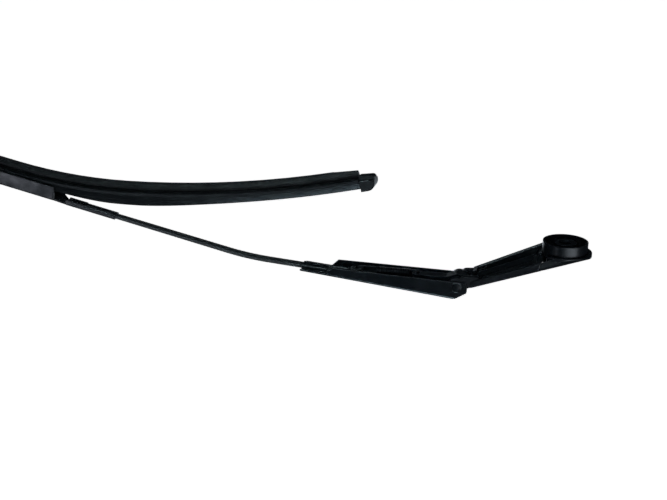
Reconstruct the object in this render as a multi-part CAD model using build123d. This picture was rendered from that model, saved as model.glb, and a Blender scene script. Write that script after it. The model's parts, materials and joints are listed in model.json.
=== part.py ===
from build123d import *
import os
from math import atan2, cos, degrees, hypot, radians, sin, tan

# Windscreen wiper arm with its beam blade, glass side up.
# Lengths are millimetres, angles are degrees. The origin is the mouth of the spindle bore,
# +Z runs along the spindle towards the glass and +X along the arm towards its tip.
# The near side of the arm is +Y, the far side is -Y.

# Clearances
RUN_FIT = 0.05
PRESS_FIT = 0.01
SLIDE_GAP = 0.1
BODY_GAP = 0.4

# Head: spindle socket and deck
BORE_DIAMETER = 10.0
BORE_LENGTH = 8.0
BOSS_DIAMETER = 17.0
SKIRT_DIAMETER = 34.0
SKIRT_WALL = 1.6
SKIRT_HEIGHT = 8.0
RIM_RISE = 1.0
DECK_DIAMETER = 40.6
DECK_THICKNESS = 2.4
NUT_SEAT_DIAMETER = 20.0

# Head: crowned outer skin and open neck
CROWN_RADIUS = 30.0
CROWN_DEPTH = 17.2
CROWN_ANGLE = 20.0
HEAD_WALL = 3.0
WALL_ROUND = 1.4
NECK_WALL_ANGLE = 23.7
NECK_NEAR_DROP = 4.3
NECK_FAR_RISE = 4.5
NECK_END = 69.0
NECK_MOUTH_GAP = 11.0
RIB_WIDTH = 1.4
RIB_DROP = 2.2
RIB_START = 23.0
LATTICE_START = 59.0
LATTICE_PITCH = 3.3
LATTICE_ROWS = 3

# Hinge between head and retainer
HINGE_X = 80.0
HINGE_DROP = 40.0
ARM_ANGLE = 4.3
LIFT_ANGLE = 80.0
LUG_RADIUS = 7.2
LUG_THICKNESS = 5.2
HINGE_PIN_DIAMETER = 5.0
BUSH_WALL = 0.8
BUSH_FLANGE_DIAMETER = 7.6
RIVET_HEAD_DIAMETER = 7.2
RIVET_HEAD_HEIGHT = 0.5

# Nut cover
COVER_WALL = 1.4
COVER_PIVOT_X = 12.0
COVER_PIVOT_DROP = 16.0
COVER_END_RADIUS = 5.6
COVER_ANGLE = 95.0
COVER_PEG_DIAMETER = 2.4
COVER_PEG_LENGTH = 2.2
COVER_KNUCKLE_DIAMETER = 4.4
COVER_KNUCKLE_LENGTH = 10.0

# Spring, strap and cross bar
BAR_ARM = 7.0
BAR_DIAMETER = 4.0
BAR_BOSS_RADIUS = 4.2
STRAP_WIDTH = 9.0
STRAP_THICKNESS = 1.8
STRAP_LENGTH = 38.0
STRAP_ARCH_START = 7.0
STRAP_ARCH_END = 15.0
STRAP_EYE_DIAMETER = 3.6
STRAP_WRAP_ANGLE = 250.0
SPRING_DIAMETER = 7.5
SPRING_WIRE = 1.4
SPRING_TURNS = 20
HOOK_RUN = 4.0
HOOK_CORNER = 1.05
ANCHOR_X = 83.0
ANCHOR_RISE = 3.7

# Retainer, pressed from sheet
SHEET = 1.2
RETAINER_WIDTH = 26.0
RETAINER_DEPTH = 9.2
RETAINER_WALL_TOP = 5.8
RETAINER_WALL_ANGLE = 4.03
RETAINER_TILT_ANGLE = 0.9
EAR_RADIUS = 8.4
EAR_CORNER = 1.6
FLOOR_START = 1.5
PLATE_END_WIDTH = 21.2
WALL_END = 101.0
NOTCH_LENGTH = 5.0
HEM_HEIGHT = 2.2
COLLAR_X = 107.0
COLLAR_LENGTH = 21.0
COLLAR_SEAM = 2.0
CRIMP_ROUND = 1.8
SHEET_BEND = 2.6

# Rod, a flat bar
ROD_THICKNESS = 2.5
ROD_WIDTH = 7.8
ROD_TIP_WIDTH = 6.4
ROD_START = 78.0
JOGGLE_END = 92.0
JOGGLE_START = 87.0
ROD_HOLE_DIAMETER = 3.0
BEND_START = 158.0
BEND_RADIUS = 250.0
TIP_ANGLE = 12.5
PIVOT_REACH = 230.0

# Tip carrier, one stamping
CRIMP_START = -127.0
CRIMP_LENGTH = 29.0
NECK_FLARE_START = -81.0
BOX_START = -71.0
BOX_END = 24.0
BOX_WIDTH = 19.0
BOX_HEIGHT = 12.3
BOX_STEP = 2.8
BOX_BEND = 1.6
CRIMP_SEAM = 3.0
BUTTON_HOLE_DIAMETER = 7.4
BUTTON_X = -11.0

# Adapter, pivot and connector
PIVOT_RISE = 5.95
PIVOT_DIAMETER = 5.0
ADAPTER_HALF_LENGTH = 20.0
ADAPTER_TOP = 3.6
ADAPTER_CREST = 6.0
ADAPTER_FALL_ANGLE = 8.5
ADAPTER_END_WALL = 3.5
ADAPTER_FLOOR = 1.0
WEB_WIDTH = 8.0
WEB_LENGTH = 26.0
WEB_TIP_RADIUS = 3.6
BASE_HALF_LENGTH = 22.0
BASE_WIDTH = 14.0
BASE_THICKNESS = 3.8
BASE_ROUND = 0.9

# Blade
RAIL_RISE = 6.35
BLADE_HALF_LENGTH = 350.9
STRAIGHT_HALF = 30.0
INNER_ARC = 105.0
INNER_ARC_RADIUS = 475.0
OUTER_ARC_RADIUS = 900.0
CAP_LENGTH = 12.2
RAIL_WIDTH = 4.0
RAIL_THICKNESS = 0.9
RAIL_GAP = 2.2
RAIL_CAP_ENTRY = 7.0
LIP_HEIGHT = 10.3
LIP_TIP_WIDTH = 0.9
LIP_END_CUT = 20.0
LIP_END_DROP = 1.7
LIP_ROOT_WIDTH = 1.5
LIP_ROOT_RISE = 8.5
WING_WIDTH = 5.0
WING_TOP = 6.0
WING_BOTTOM = 4.4
TILT_WEB_WIDTH = 1.2
TILT_WEB_TOP = 3.5
TILT_WEB_BOTTOM = 2.5
SHOULDER_TOP = 1.9
RUBBER_HEAD_WIDTH = 6.2
RUBBER_HEAD_DEPTH = 2.0
SPOILER_WIDTH = 12.8
SPOILER_DEPTH = 10.4
SPOILER_RELIEF_DEPTH = 6.9
SPOILER_RELIEF_END = 62.0
SPOILER_ROOT_DEPTH = 9.9
SPOILER_ROOT = 105.0
SPOILER_TIP_DEPTH = 6.0
SPOILER_TIP = 300.0
SPOILER_EDGE = 3.0
SPOILER_WAIST = 6.4
SPOILER_WAIST_DEPTH = 5.6
SPOILER_HOLLOW_DEPTH = 4.2
SPOILER_CLAW = 1.3
SPOILER_END_GAP = 0.5
CAP_WIDTH = 13.6
CAP_TOP_WIDTH = 8.6
CAP_TOP = 4.6
CAP_TOP_FALL = 1.2
CAP_STEP = 0.2
CAP_DEPTH = 7.6
CAP_NOSE_RADIUS = 6.4
CAP_BROW_RADIUS = 2.6

# Derived levels and places
DECK_TOP = RIM_RISE - SKIRT_HEIGHT
DECK_BOTTOM = DECK_TOP - DECK_THICKNESS
DECK_RADIUS = DECK_DIAMETER / 2
HINGE_Z = -HINGE_DROP
COVER_PIVOT_Z = -COVER_PIVOT_DROP
LUG_OUTER = RETAINER_WIDTH / 2 - SHEET - BODY_GAP - SLIDE_GAP
LUG_INNER = LUG_OUTER - LUG_THICKNESS
FLOOR_Z = -RETAINER_DEPTH
ROD_Z = FLOOR_Z + SHEET + ROD_THICKNESS / 2
ROD_BEND = TIP_ANGLE - ARM_ANGLE
BEND_END_X = BEND_START + BEND_RADIUS * sin(radians(ROD_BEND))
BEND_END_Z = ROD_Z + BEND_RADIUS * (1 - cos(radians(ROD_BEND)))
ANCHOR_Z = ROD_Z + ANCHOR_RISE
BOX_FLOOR = BOX_STEP - ROD_THICKNESS / 2 - SHEET
CRIMP_END = CRIMP_START + CRIMP_LENGTH
COLLAR_END = COLLAR_X + COLLAR_LENGTH
SPOILER_START = BASE_HALF_LENGTH + SPOILER_END_GAP
CAP_START = BLADE_HALF_LENGTH - CAP_LENGTH
RAIL_EDGE = RAIL_GAP / 2 + RAIL_WIDTH + SLIDE_GAP
RAIL_FACE = RAIL_THICKNESS / 2 + SLIDE_GAP
CLAW_INNER = RAIL_EDGE - SPOILER_CLAW

# Frames: the arm turns about the hinge, the tip follows the bent rod, the blade its pivot
ARM = Pos(HINGE_X, 0, HINGE_Z) * Rot(0, -ARM_ANGLE, 0)
TIP = (
    ARM
    * Pos(
        BEND_END_X + PIVOT_REACH * cos(radians(ROD_BEND)),
        0,
        BEND_END_Z + PIVOT_REACH * sin(radians(ROD_BEND)),
    )
    * Rot(0, -ROD_BEND, 0)
)
BLADE = TIP * Pos(0, 0, PIVOT_RISE)
RUN = BLADE * Pos(0, 0, RAIL_RISE)

# The spring pulls past the hinge at half lift, so the cross bar lies half the lift
# range short of the line through anchor and hinge
ANCHOR_ANGLE = degrees(atan2(ANCHOR_Z, ANCHOR_X))
BAR_ANGLE = 180 + ANCHOR_ANGLE - LIFT_ANGLE / 2
BAR_X = BAR_ARM * cos(radians(BAR_ANGLE))
BAR_Z = BAR_ARM * sin(radians(BAR_ANGLE))
PULL_LENGTH = hypot(ANCHOR_X - BAR_X, ANCHOR_Z - BAR_Z)
PULL_ANGLE = degrees(atan2(ANCHOR_Z - BAR_Z, ANCHOR_X - BAR_X))
PULL = ARM * Pos(BAR_X, 0, BAR_Z) * Rot(0, -PULL_ANGLE, 0)


def polygon(points):
    """Face inside straight edges through the points."""
    return make_face(Polyline(points, close=True))


def mirrored(half):
    """Outline that is symmetric in its first coordinate, from its right half."""
    return polygon(half + [(-x, z) for x, z in reversed(half)])


def slab(sketch, y_low, y_high):
    """Side-view sketch given its width in Y."""
    return Pos(0, y_high, 0) * extrude(Plane.XZ * sketch, amount=y_high - y_low)


def across(sketch, width):
    """Side-view sketch given a width centred on the arm."""
    return slab(sketch, -width / 2, width / 2)


def both_sides(part):
    """A part on the near side and its mirror image on the far side."""
    return part + mirror(part, about=Plane.XZ)


def disc(x, z, diameter):
    """Circle at a place of a sketch."""
    return Pos(x, z) * Circle(diameter / 2)


def hull(*sketches):
    """Straight-sided outline round several sketches."""
    return make_hull([edge for sketch in sketches for edge in sketch.edges()])


def upright(sketch, z_low, z_high):
    """Plan-view sketch raised between two levels."""
    return Pos(0, 0, z_low) * extrude(sketch, amount=z_high - z_low)


# Arm head
def crown(inset):
    """Tilted barrel whose underside is the head's crowned skin, or lies inside it."""
    axis = Vector(cos(radians(CROWN_ANGLE)), 0, -sin(radians(CROWN_ANGLE)))
    normal = Vector(sin(radians(CROWN_ANGLE)), 0, cos(radians(CROWN_ANGLE)))
    start = Vector(0, 0, -CROWN_DEPTH) + normal * CROWN_RADIUS - axis * HINGE_X
    return extrude(Plane(origin=start, z_dir=axis) * Circle(CROWN_RADIUS - inset), amount=3 * HINGE_X)


def neck_plan(inset):
    """Plan of the head: the round deck drawn out to the hinge lugs."""
    lug_end = Pos(NECK_END, 0) * Rectangle(2 * LUG_RADIUS, 2 * (LUG_OUTER - inset))
    return hull(Circle(DECK_RADIUS - inset), lug_end)


def below_wall_tops(drop):
    """Space under the sloping top edges of the near and far neck walls."""
    reach = 2 * HINGE_X
    slope = tan(radians(NECK_WALL_ANGLE))
    near = -NECK_NEAR_DROP
    far = near + NECK_FAR_RISE
    depth = near - reach * (1 + slope)
    deck_end = (near - DECK_TOP) / slope
    near_side = polygon(
        [(0, DECK_TOP), (deck_end, DECK_TOP), (reach, near - reach * slope), (reach, depth), (0, depth)]
    )
    far_side = polygon([(0, far), (reach, far - reach * slope), (reach, depth), (0, depth)])
    return Pos(0, 0, -drop) * (slab(near_side, 0, DECK_DIAMETER) + slab(far_side, -DECK_DIAMETER, 0))


def cover_space(gap):
    """Side view of the room for the nut cover, rounded about its pivot."""
    knuckle = disc(COVER_PIVOT_X, COVER_PIVOT_Z, 2 * (COVER_END_RADIUS + gap))
    left = -DECK_DIAMETER
    top = DECK_BOTTOM - BODY_GAP + gap
    right = COVER_PIVOT_X + gap
    room = polygon([(left, top), (right, top), (right, 2 * left), (left, 2 * left)])
    return room + knuckle - polygon([(left, top), (-left, top), (-left, -left), (left, -left)])


def cover_swing():
    """Side view of the cover at full opening, with the gap that the neck leaves it."""
    drop = CROWN_DEPTH + COVER_PIVOT_X * tan(radians(CROWN_ANGLE)) - COVER_PIVOT_DROP
    reach = drop * cos(radians(CROWN_ANGLE)) + BODY_GAP
    plate = polygon([(0, 0), (-DECK_DIAMETER, 0), (-DECK_DIAMETER, -reach), (0, -reach)])
    return Pos(COVER_PIVOT_X, COVER_PIVOT_Z) * Rot(0, 0, COVER_ANGLE - CROWN_ANGLE) * plate


def neck_ribs(cavity):
    """Long centre rib and the lattice of pockets before the lugs."""
    depth = 2 * HINGE_X
    long_rib = Pos(RIB_START, -RIB_WIDTH / 2, -depth) * Box(
        NECK_END - RIB_START, RIB_WIDTH, depth, align=Align.MIN
    )
    ribs = long_rib
    for row in range(LATTICE_ROWS):
        x = LATTICE_START + row * LATTICE_PITCH
        ribs += Pos(x, -DECK_RADIUS, -depth) * Box(RIB_WIDTH, DECK_DIAMETER, depth, align=Align.MIN)
    lane = Pos(LATTICE_START, LUG_INNER - RIB_WIDTH, -depth) * Box(
        NECK_END - LATTICE_START, RIB_WIDTH, depth, align=Align.MIN
    )
    ribs += both_sides(lane)
    return ribs & cavity & below_wall_tops(RIB_DROP)


def hinge_lug():
    """Near lug, with its root in the neck and a boss round the cross bar."""
    bar = PULL.position
    root_x = NECK_END - LUG_RADIUS / 2
    root_z = -CROWN_DEPTH - root_x * tan(radians(CROWN_ANGLE)) + LUG_RADIUS / 2 + HEAD_WALL
    root = disc(root_x, root_z, LUG_RADIUS)
    eye = disc(HINGE_X, HINGE_Z, 2 * LUG_RADIUS)
    bar_boss = disc(bar.X, bar.Z, 2 * BAR_BOSS_RADIUS)
    core = disc(HINGE_X, HINGE_Z, LUG_RADIUS)
    return slab(eye + hull(root, bar_boss, core), LUG_INNER, LUG_OUTER)


def cover_ears():
    """Two ears under the deck that carry the nut cover's pegs."""
    ear = hull(
        disc(COVER_PIVOT_X, COVER_PIVOT_Z, COVER_KNUCKLE_DIAMETER),
        disc(COVER_PIVOT_X, DECK_BOTTOM, COVER_KNUCKLE_DIAMETER),
    )
    bore = disc(COVER_PIVOT_X, COVER_PIVOT_Z, COVER_PEG_DIAMETER + 2 * RUN_FIT)
    inner = COVER_KNUCKLE_LENGTH / 2 + BODY_GAP
    ears = both_sides(slab(ear - bore, inner, inner + COVER_PEG_LENGTH))
    return ears & crown(COVER_WALL + BODY_GAP)


def neck_block(x_low, x_high):
    """Tall block over a stretch of the neck, as wide as the deck."""
    depth = 2 * HINGE_X
    return Pos(x_low, -DECK_RADIUS, -depth) * Box(x_high - x_low, DECK_DIAMETER, 2 * depth, align=Align.MIN)


def wall_edges(walls):
    """Long upper edges of the near and far neck walls, on their sloping tops."""
    slope = tan(radians(NECK_WALL_ANGLE))

    def on_top(edge):
        level = -NECK_NEAR_DROP + (NECK_FAR_RISE if edge.center().Y < 0 else 0)
        ends = (edge @ 0, edge @ 1)
        return all(abs(end.Z + end.X * slope - level) < PRESS_FIT for end in ends)

    return walls.edges().filter_by(on_top).filter_by(lambda edge: edge.length > NECK_END / 2)


def neck():
    """Open channel from the deck to the lugs, with ribs on its floor."""
    depth = 2 * HINGE_X
    outside = upright(neck_plan(0), -depth, RIM_RISE) & crown(0) & below_wall_tops(0)
    outside &= neck_block(0, NECK_END)
    outside -= across(cover_space(BODY_GAP) + cover_swing(), 2 * DECK_DIAMETER)
    hollow = upright(neck_plan(HEAD_WALL), -depth, RIM_RISE) & crown(HEAD_WALL)
    hollow &= neck_block(0, NECK_END - HEAD_WALL)
    hollow -= across(cover_space(BODY_GAP + DECK_THICKNESS), 2 * DECK_DIAMETER)
    walls = outside - hollow
    return fillet(wall_edges(walls), WALL_ROUND) + neck_ribs(hollow)


def socket():
    """Deck with its skirt and the boss for the spindle."""
    past_cup = neck_plan(HEAD_WALL) - Circle(SKIRT_DIAMETER / 2)
    channel = upright(past_cup, DECK_BOTTOM, DECK_TOP) & neck_block(COVER_PIVOT_X, NECK_END)
    deck = upright(Circle(DECK_RADIUS), DECK_BOTTOM, DECK_TOP) - channel
    wall = Circle(SKIRT_DIAMETER / 2) - Circle(SKIRT_DIAMETER / 2 - SKIRT_WALL)
    skirt = upright(wall, DECK_BOTTOM, RIM_RISE)
    boss = upright(Circle(BOSS_DIAMETER / 2), DECK_BOTTOM, 0)
    return (deck + skirt + boss) & crown(0)


def arm_head():
    """Die-cast head: skirt, bored boss, deck, ribbed open neck and hinge lugs in one."""
    depth = 2 * HINGE_X
    head = neck() + socket() + both_sides(hinge_lug()) + cover_ears()
    bar = PULL.position
    head -= Pos(NECK_END, -NECK_MOUTH_GAP / 2, -depth) * Box(
        depth, NECK_MOUTH_GAP, 2 * depth, align=Align.MIN
    )
    head -= across(disc(bar.X, bar.Z, BAR_DIAMETER + 2 * PRESS_FIT), DECK_DIAMETER)
    bush_bore = HINGE_PIN_DIAMETER + 2 * (RUN_FIT + BUSH_WALL + PRESS_FIT)
    head -= across(disc(HINGE_X, HINGE_Z, bush_bore), DECK_DIAMETER)
    head -= upright(Circle(BORE_DIAMETER / 2), -depth, RIM_RISE)
    head -= upright(Circle(NUT_SEAT_DIAMETER / 2), DECK_BOTTOM - DECK_THICKNESS, -BORE_LENGTH)
    return head


def nut_cover():
    """Thin cover under the deck that flips about two moulded pegs."""
    room = across(cover_space(0), 2 * DECK_DIAMETER)
    depth = 2 * HINGE_X
    outside = upright(neck_plan(BODY_GAP), -depth, DECK_BOTTOM - BODY_GAP)
    ears = COVER_KNUCKLE_LENGTH + 2 * (COVER_PEG_LENGTH + 2 * BODY_GAP)
    past_ears = Pos(COVER_PIVOT_X, 0) * Rectangle(DECK_DIAMETER, ears, align=(Align.MIN, Align.CENTER))
    inside = upright(neck_plan(BODY_GAP + COVER_WALL) + past_ears, -depth, DECK_BOTTOM)
    shell = (outside & crown(0) & room) - (inside & crown(COVER_WALL))
    knuckle = across(disc(COVER_PIVOT_X, COVER_PIVOT_Z, COVER_KNUCKLE_DIAMETER), COVER_KNUCKLE_LENGTH)
    foot = polygon(
        [
            (COVER_PIVOT_X - COVER_KNUCKLE_DIAMETER / 2, COVER_PIVOT_Z),
            (COVER_PIVOT_X, COVER_PIVOT_Z),
            (COVER_PIVOT_X, COVER_PIVOT_Z - CROWN_DEPTH),
            (COVER_PIVOT_X - COVER_KNUCKLE_DIAMETER / 2, COVER_PIVOT_Z - CROWN_DEPTH),
        ]
    )
    knuckle += across(foot, COVER_KNUCKLE_LENGTH) & crown(COVER_WALL / 2)
    pegs = across(
        disc(COVER_PIVOT_X, COVER_PIVOT_Z, COVER_PEG_DIAMETER),
        COVER_KNUCKLE_LENGTH + 2 * (BODY_GAP + COVER_PEG_LENGTH),
    )
    return shell + knuckle + pegs


# Hinge hardware
def hinge_bush():
    """Near flanged bush in the head's lug."""
    bore = disc(HINGE_X, HINGE_Z, HINGE_PIN_DIAMETER + 2 * RUN_FIT)
    sleeve = disc(HINGE_X, HINGE_Z, HINGE_PIN_DIAMETER + 2 * (RUN_FIT + BUSH_WALL))
    flange = disc(HINGE_X, HINGE_Z, BUSH_FLANGE_DIAMETER)
    barrel = slab(sleeve - bore, LUG_INNER, LUG_OUTER)
    return barrel + slab(flange - bore, LUG_OUTER, LUG_OUTER + BODY_GAP)


def hinge_rivet():
    """Near rivet that is fixed in the retainer's ear and turns in the bush."""
    ear_outer = RETAINER_WIDTH / 2
    shank = disc(HINGE_X, HINGE_Z, HINGE_PIN_DIAMETER)
    head = disc(HINGE_X, HINGE_Z, RIVET_HEAD_DIAMETER)
    return slab(shank, LUG_INNER, ear_outer) + slab(head, ear_outer, ear_outer + RIVET_HEAD_HEIGHT)


def spring_bar():
    """Cross bar pressed into both lugs, which the strap hooks over."""
    bar = PULL.position
    return across(disc(bar.X, bar.Z, BAR_DIAMETER), 2 * LUG_OUTER)


# Strap and spring, drawn along the line of pull from the bar to the rod's hole
def spring_strap():
    """Bent strip: a hook over the cross bar, a shallow arch and an eye for the spring."""
    inner = BAR_DIAMETER / 2 + RUN_FIT
    outer = inner + STRAP_THICKNESS
    ring = Circle(outer) - Circle(inner)
    reach = 2 * outer
    lead = radians(90 + STRAP_WRAP_ANGLE)
    mouth = polygon(
        [(0, 0), (0, reach), (reach, reach), (2 * reach * cos(lead), 2 * reach * sin(lead))]
    )
    half = STRAP_THICKNESS / 2
    strip = polygon(
        [
            (0, inner),
            (0, outer),
            (STRAP_ARCH_START, outer),
            (STRAP_ARCH_END, half),
            (STRAP_LENGTH + STRAP_WIDTH / 2, half),
            (STRAP_LENGTH + STRAP_WIDTH / 2, -half),
            (STRAP_ARCH_END - half, -half),
            (STRAP_ARCH_START - half, inner),
        ]
    )
    body = across(ring - mouth + strip, STRAP_WIDTH)
    tail = upright(
        Pos(STRAP_LENGTH, 0) * Circle(STRAP_WIDTH / 2)
        + Pos(STRAP_LENGTH / 2 - outer, 0) * Rectangle(STRAP_LENGTH + 2 * outer, STRAP_WIDTH),
        -reach,
        reach,
    )
    eye = upright(Pos(STRAP_LENGTH, 0) * Circle(STRAP_EYE_DIAMETER / 2), -reach, reach)
    return PULL * ((body & tail) - eye)


def hook(start, turn, drop, top):
    """Hook of round wire that leaves the coil, turns down through a hole and back under it."""
    inward = 1 if start > turn else -1
    cut = inward * HOOK_CORNER
    path = Polyline(
        (start, 0, top),
        (turn + cut, 0, top),
        (turn, 0, top - HOOK_CORNER),
        (turn, 0, HOOK_CORNER - drop),
        (turn + cut, 0, -drop),
        (turn + inward * HOOK_RUN, 0, -drop),
    )
    section = Plane(origin=path @ 0, z_dir=path % 0) * Circle(SPRING_WIRE / 2)
    return sweep(section, path=path, transition=Transition.RIGHT)


def tension_spring():
    """Sleeve of the close-wound tension spring with a hook at the strap and one at the rod."""
    coil_length = SPRING_TURNS * SPRING_WIRE
    coil_start = STRAP_LENGTH + HOOK_RUN + SPRING_WIRE
    mean = (SPRING_DIAMETER - SPRING_WIRE) / 2
    half_wire = SPRING_WIRE / 2
    end = coil_start + coil_length
    wall = Circle(SPRING_DIAMETER / 2) - Circle(SPRING_DIAMETER / 2 - SPRING_WIRE)
    coil = extrude(Plane(origin=(coil_start, 0, 0), z_dir=(1, 0, 0)) * wall, amount=coil_length)
    strap_hook = hook(coil_start + half_wire, STRAP_LENGTH, STRAP_THICKNESS + SPRING_WIRE, mean)
    rod_hook = hook(end - half_wire, PULL_LENGTH, ROD_THICKNESS + SPRING_WIRE, mean)
    return PULL * (coil + strap_hook + rod_hook)


# Retainer, rod and tip carrier
def wall_top(x):
    """Height of the retainer's sloping wall edge above the hinge line."""
    return RETAINER_WALL_TOP - x * tan(radians(RETAINER_WALL_ANGLE))


def retainer_plan(inset, end):
    """Plan of the tapered channel as far as an end."""
    half = RETAINER_WIDTH / 2 - inset
    taper = (RETAINER_WIDTH - PLATE_END_WIDTH) / 2 / (COLLAR_END - EAR_RADIUS)
    end_half = half - taper * (end - EAR_RADIUS)
    return mirrored_plan([(-EAR_RADIUS, half), (EAR_RADIUS, half), (end, end_half)])


def mirrored_plan(half):
    """Plan outline that is symmetric about the arm's centre line."""
    return polygon(half + [(x, -y) for x, y in reversed(half)])


def retainer_side():
    """Side view of the channel: cornered ear, sloping wall edge and low hem."""
    wall = polygon(
        [
            (FLOOR_START, FLOOR_Z),
            (COLLAR_END, FLOOR_Z),
            (COLLAR_END, FLOOR_Z + HEM_HEIGHT),
            (WALL_END + NOTCH_LENGTH, FLOOR_Z + HEM_HEIGHT),
            (WALL_END, wall_top(WALL_END)),
            (0, wall_top(0)),
            (0, 0),
        ]
    )
    ear = disc(0, 0, 2 * EAR_RADIUS)
    keep = polygon(
        [
            (FLOOR_START, wall_top(0)),
            (FLOOR_START, FLOOR_Z),
            (-EAR_RADIUS, -EAR_CORNER),
            (-EAR_RADIUS, wall_top(0)),
        ]
    )
    return wall + (ear & keep)


def fold_edges(solid):
    """Long edges round the underside, along which the sheet is folded up."""
    under = [face for face in solid.faces() if face.normal_at().Z < -abs(face.normal_at().X)]
    edges = ShapeList(edge for face in under for edge in face.edges())
    return edges.filter_by(Axis.Y, reverse=True)


def folded_prism(plan, floor, top, bend):
    """Plan raised from its floor, with the long floor edges rounded as a sheet's folds."""
    prism = upright(plan, floor, top)
    return fillet(fold_edges(prism), bend)


def rounded_top(collar):
    """Collar whose flaps are folded round the rod with rounded upper edges."""
    return fillet(collar.edges().filter_by(Axis.X).group_by(Axis.Z)[-1], CRIMP_ROUND)


def retainer():
    """Tapered channel pressed from sheet, open to the glass, crimped round the rod."""
    side = across(retainer_side(), RETAINER_WIDTH)
    outside = folded_prism(retainer_plan(0, COLLAR_END), FLOOR_Z, RETAINER_DEPTH, SHEET_BEND) & side
    past_end = COLLAR_END + COLLAR_LENGTH
    inside = folded_prism(
        retainer_plan(SHEET, past_end), FLOOR_Z + SHEET, 2 * RETAINER_DEPTH, SHEET_BEND - SHEET
    )
    mouth = Pos(FLOOR_START, 0, 0) * Box(
        2 * RETAINER_WIDTH,
        RETAINER_WIDTH - 2 * SHEET,
        2 * RETAINER_WIDTH,
        align=(Align.MAX, Align.CENTER, Align.CENTER),
    )
    tilt = Pos(COLLAR_X, 0, FLOOR_Z) * Rot(0, -RETAINER_TILT_ANGLE, 0) * Pos(-COLLAR_X, 0, -FLOOR_Z)
    channel = tilt * (outside - inside - mouth)
    room_width = ROD_WIDTH + 2 * PRESS_FIT
    room_height = ROD_THICKNESS + 2 * PRESS_FIT
    low_end = (Align.MIN, Align.CENTER, Align.CENTER)
    collar = Pos(COLLAR_X, 0, ROD_Z) * Box(
        COLLAR_LENGTH, room_width + 2 * SHEET, room_height + 2 * SHEET, align=low_end
    )
    collar = rounded_top(collar)
    rod_room = Pos(JOGGLE_END, 0, ROD_Z) * Box(
        past_end - JOGGLE_END, room_width, room_height, align=low_end
    )
    seam = Pos(COLLAR_X, 0, ROD_Z) * Box(
        2 * COLLAR_LENGTH, COLLAR_SEAM, RETAINER_DEPTH, align=(Align.MIN, Align.CENTER, Align.MIN)
    )
    pin_bore = across(disc(0, 0, HINGE_PIN_DIAMETER + 2 * PRESS_FIT), 2 * RETAINER_WIDTH)
    return ARM * (channel + collar - rod_room - seam - pin_bore)


def arm_rod():
    """Flat bar: raised hooked end with a hole, straight run, shallow bend and tip."""
    half = ROD_THICKNESS / 2
    path = [
        (ROD_START, ANCHOR_Z),
        (JOGGLE_START, ANCHOR_Z),
        (JOGGLE_END, ROD_Z),
        (BEND_START, ROD_Z),
    ]
    inner = polygon([(x, z + half) for x, z in path] + [(x, z - half) for x, z in reversed(path)])
    centre = Pos(BEND_START, ROD_Z + BEND_RADIUS)
    ring = centre * (Circle(BEND_RADIUS + half) - Circle(BEND_RADIUS - half))
    wedge = polygon(
        [
            (BEND_START, ROD_Z + BEND_RADIUS),
            (BEND_START, ROD_Z - BEND_RADIUS),
            (
                BEND_END_X + BEND_RADIUS * sin(radians(ROD_BEND)),
                BEND_END_Z - BEND_RADIUS * cos(radians(ROD_BEND)),
            ),
        ]
    )
    outer_length = PIVOT_REACH + CRIMP_END
    outer = Pos(outer_length / 2, 0) * Rectangle(outer_length, ROD_THICKNESS)
    outer = Pos(BEND_END_X, BEND_END_Z) * Rot(0, 0, ROD_BEND) * outer
    bar = across(inner + (ring & wedge) + outer, ROD_WIDTH)
    end = BEND_END_X + outer_length
    crimp = BEND_END_X + (PIVOT_REACH + CRIMP_START) * cos(radians(ROD_BEND))
    taper = mirrored_plan(
        [
            (0, ROD_WIDTH / 2),
            (BEND_START, ROD_WIDTH / 2),
            (crimp, ROD_TIP_WIDTH / 2),
            (end, ROD_TIP_WIDTH / 2),
        ]
    )
    hole = Pos(ANCHOR_X, 0) * Circle(ROD_HOLE_DIAMETER / 2)
    return ARM * (bar & upright(taper - hole, -end, end))


def carrier_plan(inset):
    """Plan of the tip stamping: narrow neck, flare and wide box."""
    neck = ROD_TIP_WIDTH / 2 + PRESS_FIT + SHEET - inset
    box = BOX_WIDTH / 2 - inset
    return mirrored_plan([(CRIMP_START, neck), (NECK_FLARE_START, neck), (BOX_START, box), (BOX_END, box)])


def carrier_side(inset):
    """Side view of the tip stamping: crimp, neck, low hem over the flare and stepped box."""
    low = -ROD_THICKNESS / 2 - SHEET + inset
    floor = low + BOX_STEP
    neck_top = ROD_THICKNESS / 2 + SHEET + PRESS_FIT
    top = BOX_FLOOR + BOX_HEIGHT
    lift = 2 * BOX_HEIGHT if inset else 0
    return polygon(
        [
            (CRIMP_START, low),
            (NECK_FLARE_START, low),
            (BOX_START, floor),
            (BOX_END, floor),
            (BOX_END, top + lift),
            (BOX_START, top + lift),
            (BOX_START - SHEET, floor + HEM_HEIGHT + lift),
            (NECK_FLARE_START + SHEET, low + HEM_HEIGHT + lift),
            (NECK_FLARE_START, neck_top + lift),
            (CRIMP_START, neck_top + lift),
        ]
    )


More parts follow.
